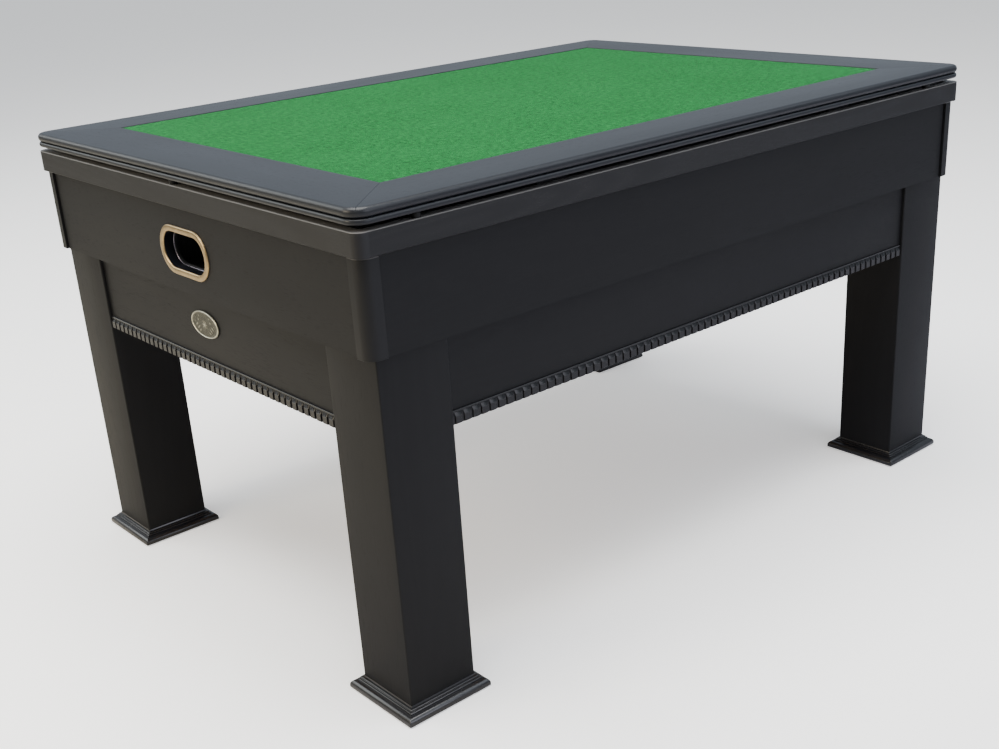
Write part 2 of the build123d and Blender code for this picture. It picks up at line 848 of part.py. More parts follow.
with BuildPart() as blower_guard:
    with BuildSketch(Plane.XY.offset(blower_bottom)):
        with Locations((blower_x, blower_y)):
            Circle(guard_radius)
            with GridLocations(0, guard_slot_pitch, 1, guard_slots):
                SlotOverall(guard_slot_length, guard_slot_width, mode=Mode.SUBTRACT)
    extrude(amount=-guard_thickness)
save(blower_guard, "blower_guard")

with BuildPart() as impeller:
    with BuildSketch(Plane.XY.offset(impeller_disc)):
        with Locations((blower_x, blower_y)):
            Circle(impeller_radius)
    extrude(amount=guard_thickness)
    with BuildSketch(Plane.XY.offset(impeller_disc)):
        with Locations((blower_x, blower_y)):
            Circle(hub_radius)
    extrude(amount=-blade_height)
    with BuildSketch(Plane.XY.offset(impeller_disc)):
        with Locations((blower_x, blower_y)):
            with PolarLocations(impeller_radius - blade_length / 2 - 1, blade_count):
                Rectangle(blade_length, blade_thickness)
    extrude(amount=-blade_height)
    with BuildSketch(Plane.XY.offset(impeller_disc + guard_thickness)):
        with Locations((blower_x, blower_y)):
            Circle(shaft_radius)
    extrude(amount=-(blade_height + guard_thickness), mode=Mode.SUBTRACT)
save(impeller, "impeller")

with BuildPart() as motor_shaft:
    with BuildSketch(Plane.XY.offset(impeller_disc - blade_height)):
        with Locations((blower_x, blower_y)):
            Circle(shaft_radius)
    extrude(amount=shaft_length)
save(motor_shaft, "motor_shaft")

with BuildPart() as blower_motor:
    with BuildSketch(Plane.XY.offset(motor_bottom)):
        with Locations((blower_x, blower_y)):
            Circle(motor_radius)
    extrude(amount=motor_height)
    fillet(blower_motor.edges().filter_by(GeomType.CIRCLE), motor_gap)
    with BuildSketch(Plane.XY.offset(motor_bottom)):
        with Locations((blower_x, blower_y)):
            Circle(shaft_radius + bearing_clearance)
    shaft_top = impeller_disc - blade_height + shaft_length
    extrude(amount=shaft_top - motor_bottom + 1, mode=Mode.SUBTRACT)
save(blower_motor, "blower_motor")

# The strap bridges the outlet hole and carries the motor from above
with BuildPart() as motor_strap:
    strap_bottom = motor_bottom + motor_height
    strap_plane = Plane(
        origin=(blower_x, blower_y - strap_width / 2, 0), x_dir=(1, 0, 0), z_dir=(0, -1, 0)
    )
    with BuildSketch(strap_plane):
        strap_rise = strap_bottom + strap_thickness - board_top
        half_span = strap_span / 2
        with Locations((0, strap_bottom)):
            Rectangle(strap_span, strap_thickness, align=(Align.CENTER, Align.MIN))
        for way in (-1, 1):
            with Locations((way * (half_span - strap_thickness / 2), board_top)):
                Rectangle(strap_thickness, strap_rise, align=(Align.CENTER, Align.MIN))
            with Locations((way * (half_span + strap_foot / 2 - strap_thickness), board_top)):
                Rectangle(strap_foot, strap_thickness, align=(Align.CENTER, Align.MIN))
    extrude(amount=-strap_width)
save(motor_strap, "motor_strap")

# ---- Rocker switch and cord gland ----

rocker_place = (blower_x + switch_offset, blower_back - switch_flange, rocker_height_centre)
with BuildPart() as switch_body:
    front = blower_back + switch_flange
    back = front - switch_depth
    x_middle, z_middle = rocker_place[0], rocker_place[2]
    x_range = (x_middle - switch_width / 2, x_middle + switch_width / 2)
    z_range = (z_middle - switch_height / 2, z_middle + switch_height / 2)
    block(x_range, (back, front), z_range)
    rim = switch_flange
    block(
        (x_range[0] - rim, x_range[1] + rim),
        (blower_back, front),
        (z_range[0] - rim, z_range[1] + rim),
    )
    hole_x = rocker_width / 2 + rocker_clearance
    hole_z = rocker_height / 2 + rocker_clearance
    block(
        (x_middle - hole_x, x_middle + hole_x),
        (back + switch_floor, front),
        (z_middle - hole_z, z_middle + hole_z),
        mode=Mode.SUBTRACT,
    )
    with BuildSketch(Plane(origin=rocker_place, x_dir=(0, 1, 0), z_dir=(1, 0, 0))):
        Circle(pin_radius + bearing_clearance)
    extrude(amount=hole_x + pin_seat, both=True, mode=Mode.SUBTRACT)
save(switch_body, "switch_body")

rocker_plane = Plane(
    origin=rocker_place,
    x_dir=(1, 0, 0),
    z_dir=(0, sin(radians(rocker_tilt)), cos(radians(rocker_tilt))),
)
with BuildPart(rocker_plane) as switch_rocker:
    Box(rocker_width, rocker_thickness, rocker_height)
    with Locations(Location((0, 0, 0), (0, 90, 0))):
        Cylinder(pin_radius, rocker_width + 2 * rocker_clearance + pin_seat)
save(switch_rocker, "switch_rocker")

with BuildPart() as cord_gland:
    with BuildSketch(gland_hole):
        Circle(gland_flange_radius)
    extrude(amount=switch_flange)
    with BuildSketch(gland_hole.offset(switch_flange)):
        Circle(gland_radius)
    extrude(amount=gland_length - switch_flange, taper=5)
    with BuildSketch(gland_hole):
        Circle(gland_radius)
    extrude(amount=-2 * blower_wall)
    with BuildSketch(gland_hole.offset(-2 * blower_wall)):
        Circle(gland_bore_radius)
    extrude(amount=gland_length + 2 * blower_wall, mode=Mode.SUBTRACT)
save(cord_gland, "cord_gland")
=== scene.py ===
"""A gaming table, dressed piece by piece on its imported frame, in metres.

+Z is up, +X runs along the long side, and the origin is on the floor under the middle.
The left end and the front side are the ones that the camera sees.
"""
import math

import bmesh
import bpy
import numpy as np
from mathutils import Matrix, Vector


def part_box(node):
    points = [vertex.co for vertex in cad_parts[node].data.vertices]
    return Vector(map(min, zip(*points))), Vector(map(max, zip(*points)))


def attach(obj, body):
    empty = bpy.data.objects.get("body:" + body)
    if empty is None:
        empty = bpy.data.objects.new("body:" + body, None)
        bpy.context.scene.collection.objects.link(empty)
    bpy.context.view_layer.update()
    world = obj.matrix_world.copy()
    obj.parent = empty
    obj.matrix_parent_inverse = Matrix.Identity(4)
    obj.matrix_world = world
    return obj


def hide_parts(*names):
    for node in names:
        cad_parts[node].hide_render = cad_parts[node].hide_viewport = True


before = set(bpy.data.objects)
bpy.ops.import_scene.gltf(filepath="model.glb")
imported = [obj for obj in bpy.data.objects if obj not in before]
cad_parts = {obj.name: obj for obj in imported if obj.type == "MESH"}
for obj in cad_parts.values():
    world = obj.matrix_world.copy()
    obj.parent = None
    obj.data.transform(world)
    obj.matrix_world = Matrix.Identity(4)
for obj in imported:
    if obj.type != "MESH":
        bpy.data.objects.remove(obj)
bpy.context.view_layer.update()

# ---- Camera, floor and light ----
# The camera stands off the near left corner, about 0.4 m above the top, and looks down at the
# table. The floor is a plain pale sheet, under a broad soft light from above and softer ones
# from each side.
eye = Vector((-1.6298, -1.8864, 1.1774))
heading, tilt, roll = math.radians(49.87), math.radians(-23.10), math.radians(-3.51)
forward = Vector(
    (math.cos(tilt) * math.cos(heading), math.cos(tilt) * math.sin(heading), math.sin(tilt))
)
level = forward.cross(Vector((0, 0, 1))).normalized()
upward = level.cross(forward)
right = math.cos(roll) * level + math.sin(roll) * upward
up = math.cos(roll) * upward - math.sin(roll) * level
camera = bpy.data.objects.new("camera", bpy.data.cameras.new("camera"))
camera.matrix_world = Matrix((
    (right.x, up.x, -forward.x, eye.x),
    (right.y, up.y, -forward.y, eye.y),
    (right.z, up.z, -forward.z, eye.z),
    (0, 0, 0, 1),
))
camera.data.lens = 46.81
camera.data.shift_x = -0.0153
camera.data.shift_y = 0.0589
bpy.context.scene.collection.objects.link(camera)
bpy.context.scene.camera = camera


def softbox(name, place, aim, size, power, colour):
    """A square area light at a place, turned to face a point."""
    lamp = bpy.data.lights.new(name, "AREA")
    lamp.size = size
    lamp.energy = power
    lamp.color = colour
    holder = bpy.data.objects.new(name, lamp)
    holder.location = place
    holder.rotation_euler = (Vector(aim) - Vector(place)).to_track_quat("-Z", "Y").to_euler()
    bpy.context.scene.collection.objects.link(holder)


softbox("overhead", (-0.6, -0.2, 4.6), (0, 0, 0.6), 4.0, 520, (1.0, 0.99, 0.97))
softbox("back_sky", (-2.4, 3.6, 3.0), (-0.5, 0, 0.7), 2.6, 80, (0.94, 0.98, 0.96))
softbox("right_sky", (2.0, -2.1, 3.2), (0.0, -0.4, 0.5), 2.2, 38, (0.84, 0.91, 1.0))
softbox("left_window", (-2.8, 0.3, 1.6), (-0.7, 0, 0.65), 1.2, 40, (1.0, 0.87, 0.66))
softbox("front_fill", (0.4, -3.8, 2.0), (0.1, -0.5, 0.6), 2.2, 55, (0.90, 0.90, 1.0))


def node(material, kind, inputs=None, **settings):
    """Adds a shader node. An input is given a number, a colour or another node's output."""
    made = material.node_tree.nodes.new(kind)
    for name, value in settings.items():
        setattr(made, name, value)
    for name, value in (inputs or {}).items():
        if isinstance(value, bpy.types.NodeSocket):
            material.node_tree.links.new(value, made.inputs[name])
        else:
            made.inputs[name].default_value = value
    return made


def new_finish(name, constants):
    """A material whose shader's own sockets hold what is the same all over the surface."""
    material = bpy.data.materials.new(name)
    material.use_nodes = True
    shader = material.node_tree.nodes["Principled BSDF"]
    for socket, value in constants.items():
        shader.inputs[socket].default_value = value
    return material, shader


def stretched_noise(material, scale, detail=3.0, roughness=0.5, distortion=0.0):
    """Noise on the piece's own coordinates, with so many features to the metre along each axis."""
    place = node(material, "ShaderNodeTexCoord").outputs["Object"]
    mapped = node(material, "ShaderNodeMapping", {"Vector": place, "Scale": scale})
    noise = node(material, "ShaderNodeTexNoise", {
        "Vector": mapped.outputs["Vector"], "Scale": 1.0, "Detail": detail,
        "Roughness": roughness, "Distortion": distortion,
    })
    return noise.outputs["Fac"]


def between(material, factor, low, high, low_out, high_out):
    """The factor carried from one range to another, and held at its ends."""
    return node(material, "ShaderNodeMapRange", {
        "Value": factor, "From Min": low, "From Max": high, "To Min": low_out, "To Max": high_out,
    }).outputs["Result"]


def calculate(material, operation, first, second=0.0):
    """One step of arithmetic on two factors."""
    return node(material, "ShaderNodeMath", {0: first, 1: second}, operation=operation).outputs[0]


def mix_colours(material, factor, first, second):
    """From the first colour to the second as the factor goes from 0 to 1."""
    mixed = node(material, "ShaderNodeMix", data_type="RGBA")
    links = material.node_tree.links
    # Sockets 0, 6 and 7 are the factor and the two colours of a mix of colours
    for number, value in ((0, factor), (6, first), (7, second)):
        socket = mixed.inputs[number]
        if isinstance(value, bpy.types.NodeSocket):
            links.new(value, socket)
        else:
            socket.default_value = value
    return mixed.outputs[2]


def connect(material, shader, colour=None, roughness=None, height=None, depth=0.0001):
    """Puts the worked-out colour, roughness and height on the shader. Depth is in metres."""
    links = material.node_tree.links
    if colour is not None:
        links.new(colour, shader.inputs["Base Color"])
    if roughness is not None:
        links.new(roughness, shader.inputs["Roughness"])
    if height is not None:
        bump = node(material, "ShaderNodeBump", {"Height": height, "Distance": depth})
        links.new(bump.outputs["Normal"], shader.inputs["Normal"])


def floor_finish():
    """Pale matte studio paper with the slightest unevenness. What it throws back at the table is
    held down, warm to the left and cool in front, and the camera sees it with a faint glow.
    """
    material, shader = new_finish("pale_floor", {"Roughness": 0.9, "Specular IOR Level": 0.1})
    cloud = stretched_noise(material, (0.6, 0.6, 0.6))
    seen = mix_colours(material, cloud, (0.93, 0.93, 0.93, 1), (0.96, 0.96, 0.96, 1))
    place = node(material, "ShaderNodeTexCoord").outputs["Object"]
    parts = node(material, "ShaderNodeSeparateXYZ", {"Vector": place}).outputs
    leftwards = calculate(material, "SUBTRACT", parts["Y"], parts["X"])
    side = between(material, leftwards, -1.0, 1.6, 0.0, 1.0)
    thrown = mix_colours(material, side, (0.46, 0.46, 0.51, 1), (0.56, 0.52, 0.44, 1))
    camera_ray = node(material, "ShaderNodeLightPath").outputs["Is Camera Ray"]
    glow = between(material, camera_ray, 0.0, 1.0, 0.0, 0.35)
    shader.inputs["Emission Color"].default_value = (1, 1, 1, 1)
    material.node_tree.links.new(glow, shader.inputs["Emission Strength"])
    connect(material, shader, colour=mix_colours(material, camera_ray, thrown, seen))
    return material


def studio_world():
    """Even light from all round, warm from the left and cool elsewhere, behind a pale backdrop."""
    world = bpy.data.worlds.new("studio")
    world.use_nodes = True
    way = node(world, "ShaderNodeTexCoord").outputs["Generated"]
    left = node(world, "ShaderNodeSeparateXYZ", {"Vector": way}).outputs["X"]
    tint = between(world, left, -0.9, 0.2, 1.0, 0.0)
    colour = mix_colours(world, tint, (0.78, 0.88, 1.0, 1), (1.0, 0.92, 0.78, 1))
    camera_ray = node(world, "ShaderNodeLightPath").outputs["Is Camera Ray"]
    colour = mix_colours(world, camera_ray, colour, (0.95, 0.97, 1.0, 1))
    backdrop = world.node_tree.nodes["Background"]
    world.node_tree.links.new(colour, backdrop.inputs["Color"])
    strength = between(world, camera_ray, 0.0, 1.0, 0.60, 1.6)
    world.node_tree.links.new(strength, backdrop.inputs["Strength"])
    return world


bpy.context.scene.world = studio_world()
floor_reach = 30.0
floor_mesh = bpy.data.meshes.new("floor")
floor_corners = [
    (x * floor_reach, y * floor_reach, 0) for x, y in ((-1, -1), (1, -1), (1, 1), (-1, 1))
]
floor_mesh.from_pydata(floor_corners, [], [(0, 1, 2, 3)])
floor_mesh.materials.append(floor_finish())
floor = bpy.data.objects.new("floor", floor_mesh)
bpy.context.scene.collection.objects.link(floor)


# ---- Card-top frame ----
# Four mitred members of solid hardwood, 24 mm thick, with two bead mouldings worked round the
# outer edge and open grain under satin black lacquer. Keys hold the mitres from inside.
def lacquered_wood(name, colour, grain, figure_depth, pore_depth, roughness, specular, tone=0.25,
                   highlight_above=None):
    """Black lacquer over open-grained wood. Grain is the axis (0, 1 or 2) that the fibres follow.

    Wide contour lines of a stretched noise make the cathedral figure, and fine streaks along
    the fibres, kept mostly to the dark half of each ring, make the pores. Tone is how much
    lighter the lacquer gets where it lies thin. Above the height given last, the top arris of a
    piece gets a painted highlight: its colour is lifted to a light grey that stands in for the
    light the arris catches.
    """
    material, shader = new_finish(name, {"Specular IOR Level": specular})
    along = [1.0 if axis == grain else 0.0 for axis in range(3)]
    figure_scale = [0.9 if way else 11.0 for way in along]
    pore_scale = [55.0 if way else 1500.0 for way in along]
    patch_scale = [2.0 if way else 6.0 for way in along]
    figure = stretched_noise(material, figure_scale, detail=1.5, roughness=0.4)
    rings = calculate(material, "SINE", calculate(material, "MULTIPLY", figure, 95.0))
    ring = between(material, rings, -1.0, 1.0, 0.0, 1.0)
    streaks = stretched_noise(material, pore_scale, detail=2.0)
    pores = between(material, streaks, 0.56, 0.66, 0.0, 1.0)
    pores = calculate(material, "MULTIPLY", pores, ring)
    height = calculate(
        material, "ADD",
        calculate(material, "MULTIPLY", ring, -figure_depth / (figure_depth + pore_depth)),
        calculate(material, "MULTIPLY", pores, -pore_depth / (figure_depth + pore_depth)),
    )
    patches = stretched_noise(material, patch_scale, detail=4.0)
    lighter = tuple((1 + tone) * value for value in colour) + (1,)
    shade = calculate(material, "MULTIPLY", calculate(material, "ADD", ring, patches), 0.5)
    base = mix_colours(material, shade, tuple(colour) + (1,), lighter)
    # Painted highlight: above the given height the arris colour is lifted to a light grey, in place
    # of the light that the arris catches.
    if highlight_above is not None:
        place = node(material, "ShaderNodeTexCoord").outputs["Object"]
        height_up = node(material, "ShaderNodeSeparateXYZ", {"Vector": place}).outputs["Z"]
        highlight_fade = 0.0004
        highlight_mask = between(material, height_up, highlight_above, highlight_above + highlight_fade, 0.0, 1.0)
        base = mix_colours(material, highlight_mask, base, (0.095, 0.092, 0.090, 1))
    gloss = between(material, patches, 0.3, 0.7, roughness - 0.035, roughness + 0.045)
    gloss = calculate(material, "ADD", gloss, calculate(material, "MULTIPLY", pores, 0.12))
    connect(material, shader, base, gloss, height, figure_depth + pore_depth)
    return material


def grid_faces(rows, columns, close_rows, close_columns):
    """The four corners of each cell of a grid of vertices, as one array."""
    row = np.arange(rows if close_rows else rows - 1)
    column = np.arange(columns if close_columns else columns - 1)
    row, column = np.meshgrid(row, column, indexing="ij")
    next_row, next_column = (row + 1) % rows, (column + 1) % columns
    corners = (row, column), (next_row, column), (next_row, next_column), (row, next_column)
    return np.stack([a * columns + b for a, b in corners], axis=-1).reshape(-1, 4)


def surface(name, grids, material, body, replaced=(), closed=(False, True), capped=False,
            sharp=35.0):
    """Makes one piece from grids of points, each (rows, columns, 3), and puts it on its body.

    Closed says whether the rows and the columns join up; capped closes the two end rows with a
    flat face each. Points that fall together are merged, and all faces are turned outwards.
    """
    vertices, faces, start = [], [], 0
    for grid in grids:
        rows, columns = grid.shape[:2]
        vertices.append(grid.reshape(-1, 3))
        faces += (grid_faces(rows, columns, *closed) + start).tolist()
        if capped:
            first = np.arange(columns) + start
            faces += [first.tolist(), (first[::-1] + (rows - 1) * columns).tolist()]
        start += rows * columns
    mesh = bpy.data.meshes.new(name)
    mesh.from_pydata(np.concatenate(vertices).tolist(), [], faces)
    shell = bmesh.new()
    shell.from_mesh(mesh)
    bmesh.ops.remove_doubles(shell, verts=shell.verts, dist=1e-6)
    bmesh.ops.recalc_face_normals(shell, faces=shell.faces)
    shell.to_mesh(mesh)
    shell.free()
    mesh.polygons.foreach_set("use_smooth", np.ones(len(mesh.polygons), bool))
    mesh.set_sharp_from_angle(angle=math.radians(sharp))
    mesh.materials.append(material)
    piece = bpy.data.objects.new(name, mesh)
    bpy.context.scene.collection.objects.link(piece)
    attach(piece, body)
    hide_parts(*replaced)
    return piece


def arc(centre, radii, start, stop, count):
    """Points of an ellipse's arc in the section's plane, from one angle to another in degrees."""
    angle = np.radians(np.linspace(start, stop, count))
    return np.stack([np.cos(angle), np.sin(angle)], -1) * radii + centre


end_low, end_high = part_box("top_frame_right")
side_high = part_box("top_frame_back")[1]
field_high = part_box("felt_panel")[1]
slab_corner = 0.028
lower_bead = 0.009
upper_round = 0.007
lower_round = 0.004
inner_arris = 0.0008
mitre_vee_width = 0.0009
mitre_vee_depth = 0.0005


def outer_edge(half_along, half_across, inner_along, inner_across, offset):
    """One member's outer line, moved inwards by an offset, from mitre to mitre.

    It is the straight edge and a part of each corner's arc, up to where the mitre line, which
    runs from the inner corner to the outer corner, crosses that arc.
    """
    centre = np.array([half_along - slab_corner, half_across - slab_corner])
    inner = np.array([inner_along, inner_across])
    way = np.array([half_along, half_across]) - inner
    gap = inner - centre
    radius = slab_corner - offset
    a, b, c = way @ way, gap @ way, gap @ gap - radius ** 2
    crossing = inner + way * (-b + math.sqrt(b * b - a * c)) / a
    mitre_angle = math.atan2(*(crossing - centre)[::-1])
    vee_angle = mitre_vee_width / slab_corner
    angles = np.append(np.linspace(math.pi / 2, mitre_angle + vee_angle, 12), mitre_angle)
    bend = centre + radius * np.stack([np.cos(angles), np.sin(angles)], -1)
    run = np.stack([np.linspace(0, centre[0], 20)[:-1], np.full(19, centre[1] + radius)], -1)
    half = np.concatenate([run, bend])
    return np.concatenate([half[:0:-1] * (-1, 1), half])


def frame_member(side, turn):
    """The moulded section carried along one side; turn is the angle that the side faces.

    Across the section the rows run from the inner edge over the flat top, round both beads and
    back underneath, so the flat part is a straight blend of the outer line and the inner edge.
    The two mitred ends dip by half a millimetre, which shows each joint as a fine vee.
    """
    across_x = turn % 180 == 0
    half_along = side_high.y if across_x else end_high.x
    half_across = end_high.x if across_x else side_high.y
    inner_along = field_high.y if across_x else field_high.x
    inner_across = field_high.x if across_x else field_high.y
    top, bottom = end_high.z, end_low.z
    groove = bottom + lower_bead
    flat_line = outer_edge(half_along, half_across, inner_along, inner_across, upper_round)
    inner_line = np.stack(
        [flat_line[:, 0] / flat_line[-1, 0] * inner_along, np.full(len(flat_line), inner_across)], -1
    )
    width = half_across - inner_across - upper_round
    rows = [(inner_line, bottom), (inner_line, top - inner_arris)]
    # Each pair is how far out and how far down, as multiples of the arris beside the felt
    for share, drop in ((0.3, 0.3), (1.0, 0.0), (6.0, 0.0), (60.0, 0.0)):
        blend = inner_arris * share / width
        rows.append((flat_line * blend + inner_line * (1 - blend), top - inner_arris * drop))
    for high, low, bead in ((top, groove, upper_round), (groove, bottom, lower_round)):
        edge = np.concatenate([
            arc((bead, high - bead), (bead, bead), 90, 180, 10),
            arc((bead, low + bead), (bead, bead), 180, 270, 10),
        ])
        for offset, height in edge:
            rows.append((
                outer_edge(half_along, half_across, inner_along, inner_across, offset), height
            ))
    grid = np.zeros((len(flat_line), len(rows), 3))
    for index, (line, height) in enumerate(rows):
        grid[:, index, :2] = line
        grid[:, index, 2] = height
    upper = grid[:, :, 2] > groove + 0.002
    grid[0, upper[0], 2] -= mitre_vee_depth
    grid[-1, upper[-1], 2] -= mitre_vee_depth
    angle = math.radians(turn)
    outward = np.array([math.cos(angle), math.sin(angle)])
    sideways = np.array([-math.sin(angle), math.cos(angle)])
    grid[:, :, :2] = grid[:, :, :1] * sideways + grid[:, :, 1:2] * outward
    return grid


for side, turn in (("right", 0), ("back", 90), ("left", 180), ("front", 270)):
    fibres = 1 if turn % 180 == 0 else 0
    finish = lacquered_wood(
        f"frame_{side}", (0.0075, 0.0086, 0.0112), fibres, 0.000003, 0.00002, 0.33, 0.30
    )
    surface(
        f"frame_{side}", [frame_member(side, turn)], finish, "card_top",
        [f"top_frame_{side}"], capped=True,
    )


# ---- Felt field ----
# One piece of green wool-blend card felt, stretched over the panel and tucked into the fine
# groove between the panel and the frame, with no seam.
def felt_finish():
    """Napped felt: matted fibres at a fraction of a millimetre, and soft clouds of brushed nap."""
    material, shader = new_finish("card_felt", {
        "Specular IOR Level": 0.05, "Sheen Weight": 0.05, "Sheen Roughness": 0.5,
        "Sheen Tint": (0.55, 0.95, 0.62, 1),
    })
    fibres = stretched_noise(material, (420, 420, 420), detail=5.0, roughness=0.75, distortion=0.6)
    matting = stretched_noise(material, (120, 95, 120), detail=3.0, roughness=0.6)
    clouds = stretched_noise(material, (7, 9, 7), detail=3.0, distortion=0.4)
    tone = calculate(material, "ADD", calculate(material, "MULTIPLY", fibres, 0.6),
                     calculate(material, "MULTIPLY", matting, 0.4))
    tone = between(material, tone, 0.38, 0.62, 0.0, 1.0)
    base = mix_colours(material, tone, (0.0012, 0.034, 0.0070, 1), (0.0085, 0.140, 0.031, 1))
    nap = between(material, clouds, 0.35, 0.65, 0.0, 0.10)
    base = mix_colours(material, nap, base, (0.016, 0.160, 0.045, 1))
    gloss = between(material, fibres, 0.3, 0.7, 0.86, 1.0)
    connect(material, shader, base, gloss, tone, 0.0006)
    return material


felt_low, felt_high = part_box("felt_field")
tuck = 0.0018
felt_thickness = 0.0014


def felt_surface():
    """The field as a function of two places across it: level, with a quarter-round at its border
    that turns down into the groove, and a waviness of up to a fifth of a millimetre, which is the
    sum of two slow sines, from the stretching.
    """
    def across(low, high, count):
        """Places along one side, close together where the border turns down."""
        roll_in = tuck * (1 - np.cos(np.radians(np.linspace(0, 90, 6))))
        run = np.linspace(low + tuck, high - tuck, count)
        return np.concatenate([low + roll_in[:-1], run, high - roll_in[:-1][::-1]])

    x = across(felt_low.x, felt_high.x, 150)
    y = across(felt_low.y, felt_high.y, 110)
    x, y = np.meshgrid(x, y, indexing="ij")
    edge = np.minimum(
        np.minimum(x - felt_low.x, felt_high.x - x), np.minimum(y - felt_low.y, felt_high.y - y)
    )
    inside = np.clip(1 - edge / tuck, 0, 1)
    drop = tuck * (1 - np.sqrt(1 - inside ** 2))
    wave = 0.00005 * (np.sin(23 * x + 4 * y) + np.sin(31 * y - 6 * x + 1.0) - 2)
    return np.stack([x, y, felt_high.z - drop + wave], -1)


felt = surface(
    "felt_cloth", [felt_surface()], felt_finish(), "card_top", ["felt_field"],
    closed=(False, False),
)
thickness = felt.modifiers.new("thickness", "SOLIDIFY")
thickness.thickness = felt_thickness
thickness.offset = -1


# ---- Fascia band ----
# Four lengths of open-grained oak, 36 mm deep, butted against rounded corner blocks and finished
# in the same black lacquer. Screws from inside hold them.
def dress(names, material):
    """Gives CAD nodes their finish."""
    for name in names:
        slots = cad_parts[name].data.materials
        slots.clear()
        slots.append(material)


oak_black = (0.0060, 0.0060, 0.0066)
# Painted highlight: the top 1.4 mm of the bands and corner blocks is coloured light grey, standing in
# for the light caught by their top arris.
band_highlight_depth = 0.0014
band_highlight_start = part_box("band_front")[1].z - band_highlight_depth
for letter, grain, sides in (("x", 0, ("front", "back")), ("y", 1, ("left", "right"))):
    band_finish = lacquered_wood(
        f"band_oak_{letter}", oak_black, grain, 0.00003, 0.00010, 0.47, 0.27, 0.6, band_highlight_start
    )
    dress([f"band_{side}" for side in sides], band_finish)


def corner_ring(outer, inner, radius, inset, count=14):
    """The plan of a corner piece: square inside, its outer upright rounded, its outer faces set
    in by an inset. Outer and inner are its two opposite corners.
    """
    sign = np.sign(outer - inner)
    reach = np.abs(outer - inner)
    turn = np.radians(np.linspace(0, 90, count))
    bend = reach - radius + (radius - inset) * np.stack([np.cos(turn), np.sin(turn)], -1)
    path = np.concatenate([[(0, 0), (reach[0] - inset, 0)], bend, [(0, reach[1] - inset)]])
    return inner + path * sign


def corner_piece(outer, inner, radius, levels):
    """The plan carried up through levels, each a height and how far the outer faces are set in."""
    rings = []
    for height, inset in levels:
        plan = corner_ring(outer, inner, radius, inset)
        rings.append(np.column_stack([plan, np.full(len(plan), height)]))
    return np.stack(rings)


def bevelled_levels(bottom, top, bevel):
    """From a bottom edge with its arris just taken off to a top edge with a rounded bevel."""
    arris = 0.0004
    ease = np.radians(np.linspace(0, 90, 5))
    return [(bottom, arris), (bottom + arris, 0.0)] + [
        (top - bevel * (1 - math.sin(a)), bevel * (1 - math.cos(a))) for a in ease
    ]


block_low, block_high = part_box("band_corner_blocks")
band_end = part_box("band_front")[1].x
block_size = block_high.x - band_end
block_round = 0.016
block_levels = bevelled_levels(block_low.z, block_high.z, 0.0012)
block_grids = []
for signs in ((-1, -1), (-1, 1), (1, -1), (1, 1)):
    outer = np.array(signs) * (block_high.x, block_high.y)
    inner = outer - block_size * np.array(signs)
    block_grids.append(corner_piece(outer, inner, block_round, block_levels))
block_finish = lacquered_wood(
    "block_oak", (0.0060, 0.0060, 0.0070), 2, 0.000004, 0.00004, 0.43, 0.32, 0.25, band_highlight_start
)
surface("band_blocks", block_grids, block_finish, "cabinet",
        ["band_corner_blocks"], capped=True)


# ---- Upper cabinet: corner posts and panels ----
# Rounded posts of lacquered hardwood with flat veneered panels housed between them, the panels a
# little behind the posts. The end panels are cut for the return mouths.
cabinet_black = (0.0052, 0.0053, 0.0059)
upright = lacquered_wood("cabinet_upright", cabinet_black, 2, 0.000002, 0.00002, 0.50, 0.17)
along_x = lacquered_wood("cabinet_along_x", cabinet_black, 0, 0.000002, 0.00002, 0.50, 0.17)
along_y = lacquered_wood("cabinet_along_y", cabinet_black, 1, 0.000002, 0.00002, 0.50, 0.17)

post_round = 0.020
post_bevel = 0.0040
# Painted highlight: the top 3 mm of each post, its bevel, is coloured light grey, standing in for the
# light caught by the bevel.
post_highlight_depth = 0.0030
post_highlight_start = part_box("corner_post_front_left")[1].z - post_highlight_depth
post_finish = lacquered_wood(
    "post_upright", cabinet_black, 2, 0.000002, 0.00002, 0.47, 0.24, 0.25, post_highlight_start
)
for side in ("front", "back"):
    for end in ("left", "right"):
        low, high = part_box(f"corner_post_{side}_{end}")
        near_x, far_x = sorted((low.x, high.x), key=abs)
        near_y, far_y = sorted((low.y, high.y), key=abs)
        post = corner_piece(
            np.array((far_x, far_y)), np.array((near_x, near_y)), post_round,
            bevelled_levels(low.z, high.z, post_bevel),
        )
        surface(f"post_{side}_{end}", [post], post_finish, "cabinet",
                [f"corner_post_{side}_{end}"], capped=True)

dress(["side_panel_front", "side_panel_back", "apron_front", "apron_back"], along_x)
dress(["end_panel_left", "end_panel_right", "apron_left", "apron_right"], along_y)


# ---- Legs ----
# Square legs boxed up from boards and lacquered like the cabinet, with eased corners. Bolts
# through the corner braces hold them.
def square_ring(centre, half, radius, count=5):
    """A square with rounded corners about a centre, as a ring of points."""
    turn = np.radians(np.linspace(0, 90, count))
    corner = half - radius + radius * np.stack([np.cos(turn), np.sin(turn)], -1)
    quarters = [corner, corner[::-1] * (-1, 1), -corner, corner[::-1] * (1, -1)]
    return np.concatenate(quarters) + centre


def stacked_squares(centre, profile, radius):
    """A square ring at each point of a profile, which gives half the width and the height."""
    rings = []
    for half, height in profile:
        plan = square_ring(centre, half, min(radius, half))
        rings.append(np.column_stack([plan, np.full(len(plan), height)]))
    return np.stack(rings)


leg_names = [f"leg_{side}_{end}" for side in ("front", "back") for end in ("left", "right")]
leg_centres = {}
leg_end_ease = 0.001
leg_corner_round = 0.0022
for name in leg_names:
    low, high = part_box(name)
    centre = np.array(((low.x + high.x) / 2, (low.y + high.y) / 2))
    half = (high.x - low.x) / 2
    leg_centres[name] = centre
    profile = [(half - leg_end_ease, low.z)]
    profile += [(half, z) for z in np.linspace(low.z + leg_end_ease, high.z - leg_end_ease, 9)]
    profile += [(half - leg_end_ease, high.z)]
    surface(f"box_{name}", [stacked_squares(centre, profile, leg_corner_round)], upright,
            "cabinet", [name], capped=True)


